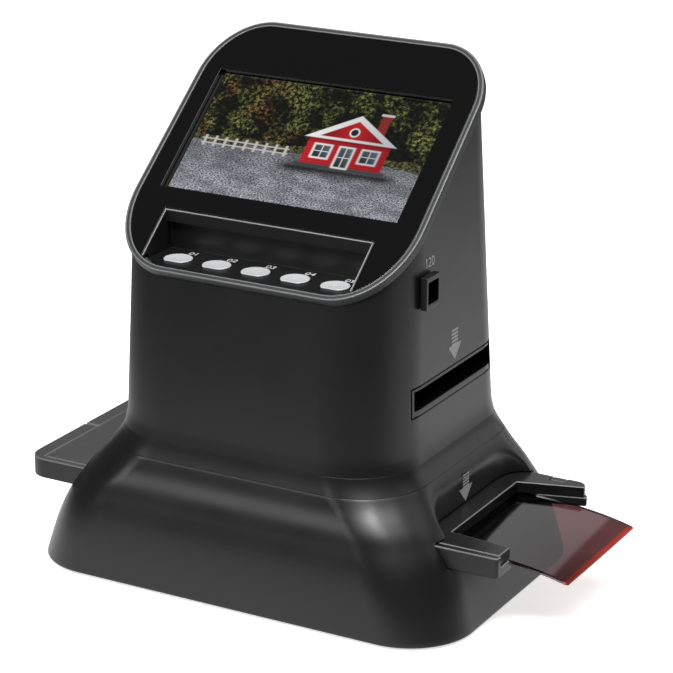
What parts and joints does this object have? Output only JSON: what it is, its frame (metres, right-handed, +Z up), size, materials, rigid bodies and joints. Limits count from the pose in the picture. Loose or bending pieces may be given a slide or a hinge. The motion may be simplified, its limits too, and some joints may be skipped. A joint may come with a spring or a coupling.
{
  "type": "film negative scanner",
  "caption": "Desktop film scanner: flared base with a sliding film tray, a tower with a holder slot and format knob, and a sloping display face above a row of buttons.",
  "frame": {"origin": "middle of the whole part's footprint, tray and film included, on the surface its feet stand on", "axes": "+X to the right along the film tray's slide, seen from the display's side, +Y to the back, +Z up"},
  "size_m": [0.223, 0.1248, 0.1943],
  "materials": {
    "satin_black": "satin black, fine moulded grain",
    "rim_grey": "satin dark grey",
    "gloss_black": "polished black",
    "key_grey": "pale silver grey",
    "display_picture": null,
    "film_base": "clear red-brown film base, glossy",
    "board_green": "green circuit board",
    "bare_steel": "plain steel",
    "foot_rubber": "black rubber",
    "lamp_white": "white lamp parts",
    "lens_clear": "clear lens"
  },
  "bodies": {
    "housing": {"base_housing": "satin_black", "upper_housing": "satin_black", "bottom_cover": "satin_black", "face_bezel": "rim_grey", "front_plate": "gloss_black", "display_glass": "display_picture", "display_frame": "bare_steel", "face_carrier": "satin_black", "main_board": "board_green", "board_screw_1": "bare_steel", "board_screw_2": "bare_steel", "board_screw_3": "bare_steel", "board_screw_4": "bare_steel", "button_well": "satin_black", "button_board": "board_green", "upper_channel": "satin_black", "light_shroud": "satin_black", "lower_channel": "satin_black", "backlight_box": "lamp_white", "led_board": "lamp_white", "diffuser": "lamp_white", "optical_frame": "satin_black", "guide_rod_1": "bare_steel", "guide_rod_2": "bare_steel", "io_board": "board_green", "card_socket": "bare_steel", "usb_socket": "bare_steel", "foot_1": "foot_rubber", "foot_2": "foot_rubber", "foot_3": "foot_rubber", "foot_4": "foot_rubber", "cover_screw_1": "bare_steel", "cover_screw_2": "bare_steel", "cover_screw_3": "bare_steel", "cover_screw_4": "bare_steel"},
    "tray": {"film_tray": "satin_black", "tray_cover": "satin_black", "tray_hinge_pin_1": "bare_steel", "tray_hinge_pin_2": "bare_steel"},
    "film": {"film_strip": "film_base"},
    "format_switch": {"format_knob": "satin_black", "camera_carriage": "satin_black", "lens_barrel": "satin_black", "front_lens": "lens_clear", "sensor_board": "board_green"},
    "button_1": {"button_1": "key_grey"},
    "button_2": {"button_2": "key_grey"},
    "button_3": {"button_3": "key_grey"},
    "button_4": {"button_4": "key_grey"},
    "button_5": {"button_5": "key_grey"}
  },
  "joints": [
    {"name": "tray_slide", "type": "slide", "parent": "housing", "child": "tray", "axis": [1, 0, 0], "range_m": [-0.02, 0.12]},
    {"name": "film_slide", "type": "slide", "parent": "tray", "child": "film", "axis": [1, 0, 0], "range_m": [0, 0.03]},
    {"name": "format_slide", "type": "slide", "parent": "housing", "child": "format_switch", "axis": [0, 0, 1], "range_m": [-0.004, 0]},
    {"name": "button_1_press", "type": "slide", "parent": "housing", "child": "button_1", "axis": [0, 0, -1], "range_m": [0, 0.0006], "stiffness_N_per_m": 1500, "springref_m": -0.0002},
    {"name": "button_2_press", "type": "slide", "parent": "housing", "child": "button_2", "axis": [0, 0, -1], "range_m": [0, 0.0006], "stiffness_N_per_m": 1500, "springref_m": -0.0002},
    {"name": "button_3_press", "type": "slide", "parent": "housing", "child": "button_3", "axis": [0, 0, -1], "range_m": [0, 0.0006], "stiffness_N_per_m": 1500, "springref_m": -0.0002},
    {"name": "button_4_press", "type": "slide", "parent": "housing", "child": "button_4", "axis": [0, 0, -1], "range_m": [0, 0.0006], "stiffness_N_per_m": 1500, "springref_m": -0.0002},
    {"name": "button_5_press", "type": "slide", "parent": "housing", "child": "button_5", "axis": [0, 0, -1], "range_m": [0, 0.0006], "stiffness_N_per_m": 1500, "springref_m": -0.0002}
  ]
}
